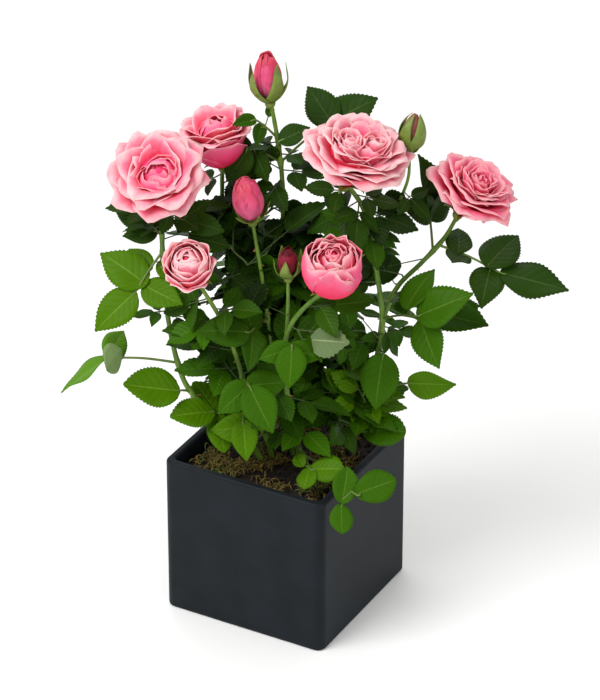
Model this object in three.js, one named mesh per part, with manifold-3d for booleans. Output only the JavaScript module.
// A miniature rose in a square ceramic pot: canes, blooms, compound leaves and foliage masses,
// each one closed solid with a name of its own. Millimetres, +Z up. The origin is the centre
// of the pot's flat underside.

import * as THREE from "three";
import { mergeVertices } from "three/addons/utils/BufferGeometryUtils.js";
import Module from "manifold-3d";

const wasm = await Module();
wasm.setup();

// ---- driving dimensions --------------------------------------------------------------------

const POT = { side: 122, height: 116.5, wall: 8, floor: 8, corner: 4, cornerSteps: 2 };
const SOIL_TOP = POT.height - 10.5; // the compost stands this far below the rim
const GAP = 0.3; // clear space kept between neighbouring solids
const CRUMB = { piece: 0.08, mass: 0.25 }; // slivers that a cut leaves are smoothed away below this size
const CANE = { sides: 6, step: 24, sink: 5, places: 200 }; // sink: a cane starts this far below the compost
const STALK = { radius: 1.3, sides: 4, step: 11, fork: 0.5, intoLeaflet: 0.15 };
const LEAFLET = { sides: 8, halfWidth: 0.31, halfThick: 2.3, taper: 0.22, intoStalk: 2 };
const PAIRS = { lengths: [0.84, 0.58], setBack: [0.24, 0.66], widen: 22 }; // shares of the end leaflet
const BLOOM = { sides: 10, budSides: 7, budAcross: 40, frill: 0.05, frillCount: 5, onCane: 2 };
const MASS = { unevenness: 0.09, waves: [3.1, 3.7, 4.3], detail: 1 }; // how a mass bulges and dips
const FRONT = 299; // compass bearing that the plant's broad front looks along

const FINISH = {
  pot: { color: 0x2b2f33, roughness: 0.45 },
  compost: { color: 0x2a1a12, roughness: 0.95 },
  cane: { color: 0x5f8a2c, roughness: 0.55 },
  leaf: { color: 0x2f7210, roughness: 0.5 },
  mass: { color: 0x1f4f14, roughness: 0.6 },
  petal: { color: 0xee93a8, roughness: 0.6 },
  bud: { color: 0xd8557a, roughness: 0.6 },
};

// A place on the plant: bearing in degrees from +X, reach from the pot's centre line, and height.
function site(bearing, reach, height) {
  const angle = THREE.MathUtils.degToRad(bearing);
  return new THREE.Vector3(reach * Math.cos(angle), reach * Math.sin(angle), height);
}

// A direction: bearing and rise above the horizontal, both in degrees.
function heading(bearing, rise) {
  const up = THREE.MathUtils.degToRad(rise);
  return site(bearing, Math.cos(up), Math.sin(up));
}

// ---- the plant's plan ------------------------------------------------------------------------

// A cane rises from the compost through the places of its way, to the foot of its bloom.
// A branch or twig leaves its parent cane at a height. `thick` is the width at foot and tip.
const CANES = [
  {
    name: "cane_left",
    way: [site(243, 16, 106), site(235, 45, 143), site(230, 68, 170), site(226, 77, 200), site(222, 82, 250)],
    thick: [4.4, 2.8],
  },
  {
    name: "cane_back_left",
    way: [site(157, 11, 106), site(180, 27, 160), site(172, 45, 220), site(176, 50, 275)],
    thick: [4.2, 2.8],
  },
  {
    name: "cane_top",
    way: [site(117, 12, 106), site(147, 5, 163), site(134, 12, 235), site(127, 14, 301), site(144, 13, 341)],
    thick: [4.4, 2.8],
  },
  { name: "cane_bud", way: [site(44, 5, 106), site(259, 10, 170), site(253, 20, 242)], thick: [3.8, 2.4] },
  {
    name: "cane_low_left",
    way: [site(234, 9, 106), site(254, 34, 162), site(253, 49, 212), site(250, 58, 236)],
    thick: [4, 2.6],
  },
  {
    name: "cane_front",
    way: [site(348, 14, 106), site(304, 28, 158), site(298, 40, 211), site(306, 48, 240)],
    thick: [4.2, 3],
  },
  {
    name: "cane_right",
    way: [site(44, 25, 106), site(20, 51, 158), site(22, 64, 204), site(21, 60, 254), site(23, 52, 295)],
    thick: [4.8, 3],
  },
  {
    name: "cane_far_right",
    on: "cane_right",
    from: 217,
    way: [site(28, 77, 243), site(29, 98, 263), site(30, 108, 280)],
    thick: [3.6, 2.8],
  },
  { name: "twig_red_bud", on: "cane_front", from: 214, way: [site(301, 39, 243)], thick: [2.6, 2.2] },
  {
    name: "twig_green_bud",
    on: "cane_right",
    from: 258,
    way: [site(27, 71, 292), site(29, 80, 319)],
    thick: [2.6, 2],
  },
];

// Outlines of a bloom from its foot to its crown, as shares of half its width and of its depth.
const OPEN_ROSE = [[0.16, 0], [0.5, 0.2], [0.88, 0.48], [1, 0.74], [0.72, 0.95]];
const CUP_ROSE = [[0.2, 0], [0.72, 0.22], [1, 0.52], [0.86, 0.86], [0.5, 1]];
const BUD = [[0.3, 0], [0.92, 0.24], [1, 0.42], [0.66, 0.78], [0.22, 1]];

// A bloom or bud at the end of a cane: its middle, the way it faces, its width and its depth.
function bloom(name, on, middle, faces, across, deep, outline) {
  const foot = middle.clone().addScaledVector(faces, -deep / 2);
  return { name, on, foot, faces, across, deep, outline };
}

const BLOOMS = [
  bloom("bloom_left", "cane_left", site(226, 86, 328), heading(288, 56), 66, 36, OPEN_ROSE),
  bloom("bloom_back_left", "cane_back_left", site(190, 47, 337), heading(215, 80), 53, 38, OPEN_ROSE),
  bloom("bloom_middle", "cane_right", site(10, 45, 338), heading(345, 74), 71, 41, OPEN_ROSE),
  bloom("bloom_right", "cane_far_right", site(28, 121, 307), heading(5, 62), 59, 36, OPEN_ROSE),
  bloom("bloom_low_left", "cane_low_left", site(248, 79, 278), heading(285, 52), 37, 34, CUP_ROSE),
  bloom("bloom_front", "cane_front", site(326, 67, 282), heading(300, 62), 46, 41, CUP_ROSE),
  bloom("bud_top", "cane_top", site(168, 15, 386), heading(160, 84), 22, 34, BUD),
  bloom("bud_pink", "cane_bud", site(241, 29, 310), heading(215, 80), 25, 31, BUD),
  bloom("bud_red", "twig_red_bud", site(301, 40, 277), heading(290, 84), 17, 22, BUD),
  bloom("bud_green", "twig_green_bud", site(29, 82, 351), heading(29, 82), 15, 28, BUD),
];

// A compound leaf that stands clear of the crown. Its stalk leaves the cane at a height and runs to
// the fork, where the end leaflet starts; that leaflet ends at the tip. `faces` is its upper side and
// `spread` the angle in degrees between the end leaflet and the pairs.
function leaf(name, on, from, fork, tip, { faces = heading(FRONT, 50), spread = 80 } = {}) {
  return { name, on, from, fork, tip, faces, spread };
}

// The digit in a leaf's name is the number of its leaflets.
const LEAVES = [
  leaf("leaf5_left_upper", "cane_left", 266, site(226, 101, 246), site(228, 132, 225), { spread: 86 }),
  leaf("leaf3_left_low", "cane_left", 193, site(223, 124, 200), site(222, 155, 177), {
    faces: heading(FRONT, 75),
    spread: 115,
  }),
  leaf("leaf1_left_low", "cane_left", 171, site(233, 79, 179), site(231, 116, 187)),
  leaf("leaf3_left_top", "cane_left", 282, site(215, 90, 288), site(209, 114, 298), { spread: 38 }),
  leaf("leaf3_top_left", "cane_top", 341, site(180, 21, 356), site(199, 36, 354), { spread: 62 }),
  leaf("leaf1_top_right", "cane_top", 334, site(150, 5, 343), site(44, 18, 353)),
  leaf("leaf3_top_pale", "cane_top", 320, site(191, 26, 334), site(200, 40, 309), { spread: 62 }),
  leaf("leaf3_top_back", "cane_top", 323, site(76, 40, 340), site(58, 70, 359), { spread: 92 }),
  leaf("leaf3_behind_right", "cane_far_right", 263, site(40, 96, 287), site(42, 92, 326), {
    faces: heading(350, 30),
    spread: 62,
  }),
  leaf("leaf5_far_right", "cane_far_right", 267, site(23, 143, 253), site(22, 189, 244), {
    faces: heading(FRONT, 74),
    spread: 68,
  }),
  leaf("leaf3_right_front", "cane_right", 217, site(4, 96, 236), site(6, 131, 259), { spread: 82 }),
  leaf("leaf3_right_back", "cane_right", 231, site(21, 103, 225), site(21, 139, 236), {
    faces: heading(FRONT, 64),
    spread: 50,
  }),
  leaf("leaf1_right_low", "cane_right", 158, site(13, 84, 174), site(11, 118, 181)),
  leaf("leaf1_right_hang", "cane_right", 194, site(12, 70, 195), site(357, 69, 161)),
  leaf("leaf3_rim_left", "cane_left", 143, site(241, 58, 160), site(240, 93, 161)),
  leaf("leaf3_front_left", "cane_low_left", 162, site(266, 52, 158), site(275, 63, 134), { spread: 70 }),
  leaf("leaf3_front", "cane_low_left", 181, site(275, 57, 189), site(292, 69, 162), { spread: 70 }),
  leaf("leaf1_rim_right", "cane_right", 130, site(14, 54, 134), site(10, 81, 142)),
  leaf("leaf3_corner", "cane_front", 117, site(329, 93, 125), site(345, 103, 131), {
    faces: heading(FRONT, 34),
    spread: 112,
  }),
  leaf("leaf3_front_low", "cane_front", 122, site(318, 55, 127), site(331, 73, 133)),
  leaf("leaf3_inner_left", "cane_bud", 218, site(269, 50, 227), site(254, 81, 236)),
  leaf("leaf3_centre_low", "cane_front", 203, site(303, 56, 222), site(302, 70, 197), { spread: 70 }),
  leaf("leaf5_back_left", "cane_back_left", 205, site(145, 78, 215), site(145, 112, 205), {
    faces: heading(145, 60),
  }),
  leaf("leaf5_back_middle", "cane_top", 180, site(112, 72, 190), site(108, 108, 182), {
    faces: heading(110, 60),
  }),
  leaf("leaf5_back_right", "cane_right", 185, site(70, 88, 192), site(76, 120, 184), {
    faces: heading(75, 60),
  }),
];

// The crown's foliage masses. Middle and half sizes are given to the right of the plant's front,
// towards the front, and up.
const MASSES = [
  { name: "mass_upper_left", middle: [-51, 0, 284], half: [18, 15, 20] },
  { name: "mass_upper_middle", middle: [-20, -22, 304], half: [22, 14, 25] },
  { name: "mass_upper_back", middle: [17, -24, 302], half: [14, 11, 20] },
  { name: "mass_heart", middle: [-22, -6, 256], half: [29, 22, 26] },
  { name: "mass_heart_right", middle: [36, -8, 267], half: [29, 20, 33] },
  { name: "mass_right_middle", middle: [60, -18, 276], half: [13, 12, 24] },
  { name: "mass_middle_left", middle: [-46, 5, 212], half: [30, 20, 26] },
  { name: "mass_middle_right", middle: [20, 6, 213], half: [35, 25, 24] },
  { name: "mass_low_left", middle: [-33, 6, 168], half: [35, 22, 24] },
  { name: "mass_low_right", middle: [42, 2, 160], half: [38, 26, 28] },
  { name: "mass_right_upper", middle: [81, -6, 301], half: [15, 12, 15] },
  { name: "mass_back_upper", middle: [2, -46, 236], half: [38, 24, 32] },
  { name: "mass_back_low", middle: [0, -50, 166], half: [44, 26, 27] },
];

// ---- making solids -----------------------------------------------------------------------------

// A closed three.js geometry as a solid: without normals and uvs, its shared corners can be merged.
function solidOf(geometry) {
  const bare = geometry.clone();
  bare.deleteAttribute("normal");
  bare.deleteAttribute("uv");
  const merged = mergeVertices(bare);
  const vertProperties = new Float32Array(merged.attributes.position.array);
  const triVerts = new Uint32Array(merged.index.array);
  return new wasm.Manifold(new wasm.Mesh({ numProp: 3, vertProperties, triVerts }));
}

// Moves each point of a geometry by a rule.
function reshape(geometry, rule) {
  const places = geometry.attributes.position;
  const point = new THREE.Vector3();
  for (let i = 0; i < places.count; i += 1) {
    point.fromBufferAttribute(places, i);
    rule(point);
    places.setXYZ(i, point.x, point.y, point.z);
  }
}

// A frame at a place: X along a direction, Z as near to the face as that allows.
function frameAt(place, direction, face) {
  const along = direction.clone().normalize();
  const across = new THREE.Vector3().crossVectors(face, along).normalize();
  const out = new THREE.Vector3().crossVectors(along, across);
  return new THREE.Matrix4().makeBasis(along, across, out).setPosition(place);
}

// A tapering limb: a cylinder whose rings are moved onto a smooth line.
function taperedLimb(line, startRadius, endRadius, { sides, step }) {
  const steps = Math.max(2, Math.round(line.getLength() / step));
  const frames = line.computeFrenetFrames(steps);
  const limb = new THREE.CylinderGeometry(1, 1, steps, sides, steps);
  reshape(limb, (point) => {
    const nth = Math.round(steps / 2 - point.y);
    const radius = THREE.MathUtils.lerp(startRadius, endRadius, nth / steps);
    const ring = line.getPointAt(nth / steps);
    ring.addScaledVector(frames.normals[nth], point.z * radius);
    ring.addScaledVector(frames.binormals[nth], -point.x * radius);
    point.copy(ring);
  });
  return solidOf(limb);
}

// A leaflet: a thin lens, pointed at its stalk and its tip, and widest nearer the stalk.
function leafletSolid(frame, length, extra) {
  const blade = new THREE.SphereGeometry(1, LEAFLET.sides, 2);
  blade.rotateX(Math.PI / 2);
  reshape(blade, (point) => {
    const width = length * LEAFLET.halfWidth * (1 - LEAFLET.taper * point.x) + extra;
    point.y *= width;
    point.z *= LEAFLET.halfThick + extra;
    point.x = point.x * (length / 2 + extra) + length / 2 - LEAFLET.intoStalk;
  });
  blade.applyMatrix4(frame);
  return solidOf(blade);
}

// A block with a rounded-square plan, between two heights.
function squareBlock(side, bottom, top) {
  const edge = side / 2;
  const turn = edge - POT.corner;
  const outline = new THREE.Shape();
  outline.moveTo(edge, -turn);
  outline.absarc(turn, turn, POT.corner, 0, Math.PI / 2);
  outline.absarc(-turn, turn, POT.corner, Math.PI / 2, Math.PI);
  outline.absarc(-turn, -turn, POT.corner, Math.PI, 1.5 * Math.PI);
  outline.absarc(turn, -turn, POT.corner, 1.5 * Math.PI, 2 * Math.PI);
  const steps = { depth: top - bottom, bevelEnabled: false, curveSegments: POT.cornerSteps };
  const block = new THREE.ExtrudeGeometry(outline, steps);
  block.translate(0, 0, bottom);
  return solidOf(block);
}

// ---- pot and compost -----------------------------------------------------------------------------

function potSolid({ side, height, wall, floor }, extra) {
  const outer = squareBlock(side + 2 * extra, -extra, height + extra);
  return outer.subtract(squareBlock(side - 2 * wall - 2 * extra, floor + extra, 2 * height));
}

function compostSolid({ side, wall, floor }, extra) {
  return squareBlock(side - 2 * wall - 2 * GAP + 2 * extra, floor + GAP - extra, SOIL_TOP + extra);
}

// ---- canes, blooms, leaves and masses --------------------------------------------------------------

const caneLines = {};

// The place on a cane's line nearest to a height.
function placeOn(cane, height) {
  const offBy = (point) => Math.abs(point.z - height);
  const places = caneLines[cane].getSpacedPoints(CANE.places);
  return places.reduce((best, place) => (offBy(place) < offBy(best) ? place : best));
}

// A cane's line starts under the compost, or inside its parent, and ends just inside its bloom.
for (const { name, on, from, way } of CANES) {
  const start = on ? placeOn(on, from) : way[0].clone().setZ(SOIL_TOP - CANE.sink);
  const { foot, faces } = BLOOMS.find((candidate) => candidate.on === name);
  const end = foot.clone().addScaledVector(faces, BLOOM.onCane);
  caneLines[name] = new THREE.CatmullRomCurve3([start, ...way, end]);
}

function caneSolid({ name, thick }, extra) {
  return taperedLimb(caneLines[name], thick[0] / 2 + extra, thick[1] / 2 + extra, CANE);
}

// A bloom is its outline turned about the way it faces, with a gently frilled edge.
function bloomSolid({ foot, faces, across, deep, outline }, extra) {
  const profile = [[0, 0], ...outline, [0, 1]].map(([wide, high]) => new THREE.Vector2(wide, high));
  const sides = across > BLOOM.budAcross ? BLOOM.sides : BLOOM.budSides;
  const body = new THREE.LatheGeometry(profile, sides);
  reshape(body, (point) => {
    const frill = 1 - BLOOM.frill * Math.cos(BLOOM.frillCount * Math.atan2(point.z, point.x));
    const reach = (across / 2) * frill + extra;
    const along = point.y * (deep + 2 * extra) - extra;
    point.set(along, point.z * reach, point.x * reach);
  });
  body.applyMatrix4(frameAt(foot, faces, new THREE.Vector3(1, 0, 0)));
  return solidOf(body);
}

// A compound leaf: its stalk, the end leaflet, and the pairs that stand off the stalk behind it.
function leafSolid({ name, on, from, fork, tip, faces, spread }, extra) {
  const pairs = (Number(name.match(/\d/)[0]) - 1) / 2;
  const base = placeOn(on, from);
  const blade = tip.clone().sub(fork);
  const length = blade.length();
  const stalkEnd = fork.clone().addScaledVector(blade, STALK.intoLeaflet);
  const line = new THREE.CatmullRomCurve3([base, fork, stalkEnd]);
  const radius = STALK.radius + extra;
  let whole = taperedLimb(line, radius, radius, STALK);
  whole = whole.add(leafletSolid(frameAt(fork, blade, faces), length, extra));
  for (let pair = 0; pair < pairs; pair += 1) {
    const share = (length * PAIRS.setBack[pair]) / fork.distanceTo(base);
    const frame = frameAt(line.getPoint(STALK.fork * Math.max(0, 1 - share)), blade, faces);
    const turn = THREE.MathUtils.degToRad(spread + pair * PAIRS.widen);
    for (const side of [-1, 1]) {
      const turned = new THREE.Matrix4().makeRotationZ(side * turn);
      whole = whole.add(leafletSolid(frame.clone().multiply(turned), length * PAIRS.lengths[pair], extra));
    }
  }
  return whole;
}

// A foliage mass: a ball stretched to its half sizes, with bulges and hollows of its own.
function massSolid({ middle, half }, extra) {
  const [right, forward, height] = middle;
  const [a, b, c] = MASS.waves;
  const phase = right + 2 * forward + height;
  const ball = new THREE.IcosahedronGeometry(1, MASS.detail);
  reshape(ball, (point) => {
    const { x, y, z } = point;
    const waves = [a * x + phase, b * y - phase, c * z + 2 * phase];
    const bulge = 1 + MASS.unevenness * waves.reduce((sum, wave) => sum + Math.sin(wave), 0);
    point.x = right + x * bulge * (half[0] + extra);
    point.y = -forward + y * bulge * (half[1] + extra);
    point.z = height + z * bulge * (half[2] + extra);
  });
  ball.rotateZ(THREE.MathUtils.degToRad(FRONT + 90));
  return solidOf(ball);
}

// ---- assembly --------------------------------------------------------------------------------------

const plant = new THREE.Group();
const neighbours = [];

function boxesMeet(one, other) {
  return [0, 1, 2].every((axis) => one.min[axis] < other.max[axis] && other.min[axis] < one.max[axis]);
}

// Adds a named solid, cut clear of those added before it. A cut can leave crumbs: the largest body stays.
function addPart(name, build, piece, finish, crumb = CRUMB.piece) {
  let solid = build(piece, 0);
  for (const neighbour of neighbours) {
    if (boxesMeet(solid.boundingBox(), neighbour.boundingBox())) {
      solid = solid.subtract(neighbour);
    }
  }
  const bodies = solid.simplify(crumb).decompose();
  const largest = bodies.reduce((best, body) => (body.volume() > best.volume() ? body : best));
  const { vertProperties, triVerts } = largest.getMesh();
  const geometry = new THREE.BufferGeometry();
  geometry.setAttribute("position", new THREE.BufferAttribute(vertProperties, 3));
  geometry.setIndex(new THREE.BufferAttribute(triVerts, 1));
  geometry.computeVertexNormals();
  const mesh = new THREE.Mesh(geometry, new THREE.MeshStandardMaterial({ ...finish, metalness: 0 }));
  mesh.name = name;
  plant.add(mesh);
  neighbours.push(build(piece, GAP));
}

addPart("pot", potSolid, POT, FINISH.pot);
addPart("compost", compostSolid, POT, FINISH.compost);
for (const cane of CANES) {
  addPart(cane.name, caneSolid, cane, FINISH.cane);
}
for (const flower of BLOOMS) {
  addPart(flower.name, bloomSolid, flower, flower.outline === BUD ? FINISH.bud : FINISH.petal);
}
for (const compoundLeaf of LEAVES) {
  addPart(compoundLeaf.name, leafSolid, compoundLeaf, FINISH.leaf);
}
for (const mass of MASSES) {
  addPart(mass.name, massSolid, mass, FINISH.mass, CRUMB.mass);
}

export default plant;
